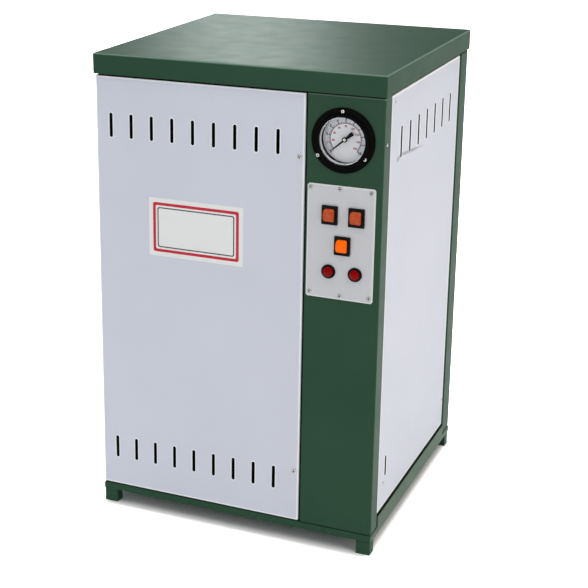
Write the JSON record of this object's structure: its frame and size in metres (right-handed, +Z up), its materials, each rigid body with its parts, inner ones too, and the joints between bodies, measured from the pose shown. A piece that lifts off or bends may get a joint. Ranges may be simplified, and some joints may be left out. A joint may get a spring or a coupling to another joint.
{
  "type": "electric steam generator",
  "caption": "Upright electric steam generator in a folded-sheet cabinet with slotted panels, overhanging lid, pressure gauge and a plate of pilot lamps.",
  "frame": {"origin": "middle of the footprint, front and rear fittings included, at floor level", "axes": "+X to the right seen from the front, +Y to the rear, +Z up; the door and gauge face -Y"},
  "size_m": [0.4074, 0.4294, 0.656],
  "materials": {
    "green_paint": "dark green satin powder coat",
    "white_paint": "off-white satin powder coat",
    "black_plastic": "black moulded plastic",
    "gauge_black": "black satin enamel",
    "dial_white": "white enamel",
    "pointer_black": "black enamel",
    "bright_metal": "bright rolled aluminium",
    "window_glass": "clear flat glass",
    "plate_metal": "fine matt aluminium",
    "lens_orange": "translucent red-orange plastic",
    "lens_amber": "translucent amber plastic, lit",
    "lens_red": "translucent red plastic",
    "brass": "turned brass"
  },
  "bodies": {
    "cabinet": {"base_tray": "green_paint", "foot_front_left": "green_paint", "foot_front_right": "green_paint", "foot_rear_left": "green_paint", "foot_rear_right": "green_paint", "post_front_left": "green_paint", "post_front_right": "green_paint", "post_rear_left": "green_paint", "post_rear_right": "green_paint", "mullion": "green_paint", "rail_front": "green_paint", "rail_rear": "green_paint", "rail_left": "green_paint", "rail_right": "green_paint", "control_fascia": "green_paint", "cover_rear_left": "green_paint", "cover_rear_right": "green_paint", "lid": "green_paint", "front_door": "white_paint", "side_panel_left": "white_paint", "side_panel_right": "white_paint", "rear_panel": "white_paint", "bezel_upper_left": "black_plastic", "bezel_upper_right": "black_plastic", "bezel_lower": "black_plastic", "round_bezel_left": "black_plastic", "round_bezel_right": "black_plastic", "cable_gland": "black_plastic", "gauge_flange": "gauge_black", "gauge_case": "gauge_black", "gauge_liner": "bright_metal", "gauge_dial": "dial_white", "gauge_window": "window_glass", "control_plate": "plate_metal", "lens_upper_left": "lens_orange", "lens_upper_right": "lens_orange", "lens_lower": "lens_amber", "round_lens_left": "lens_red", "round_lens_right": "lens_red", "steam_outlet": "brass", "water_inlet": "brass", "drain_outlet": "brass"},
    "pointer": {"gauge_pointer": "pointer_black"}
  },
  "joints": [
    {"name": "pointer_turn", "type": "hinge", "parent": "cabinet", "child": "pointer", "pos_m": [0.1483, -0.2039, 0.5696], "axis": [0, 1, 0], "range_deg": [0, 262]}
  ]
}
